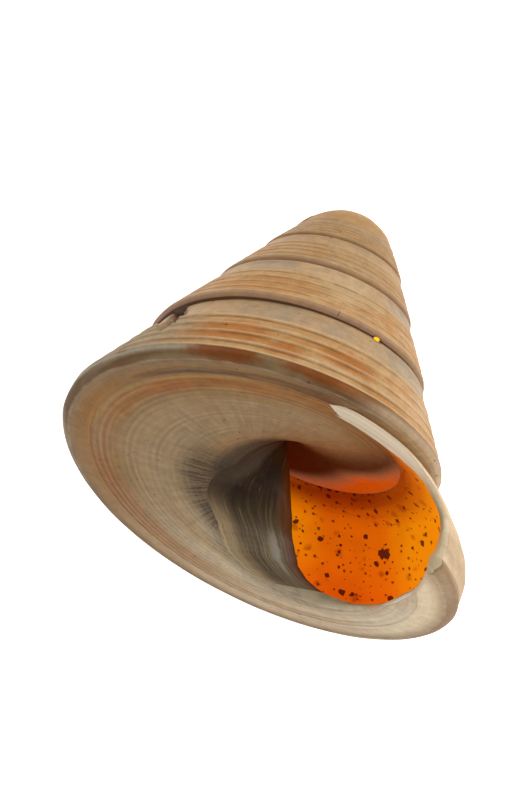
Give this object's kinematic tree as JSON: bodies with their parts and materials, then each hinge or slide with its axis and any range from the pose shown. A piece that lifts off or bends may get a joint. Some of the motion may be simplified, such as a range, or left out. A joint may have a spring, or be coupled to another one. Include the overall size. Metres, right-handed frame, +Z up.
{
  "type": "top shell",
  "caption": "Conical, spirally ridged sea-snail shell with a keeled edge, a flat base and an open hollow mouth, lying on its side.",
  "frame": {"origin": "centre of the bounding box, at its bottom, on the surface that the shell rests on", "axes": "+Z up with the shell lying on its side; +Y towards the tip of the spire; the mouth opens up, at +X and -Y"},
  "size_m": [0.0256, 0.0264, 0.0203],
  "materials": {
    "shell": "worn satin shell, glossy in the mouth"
  },
  "bodies": {
    "root": {"shell": "shell"}
  },
  "joints": []
}
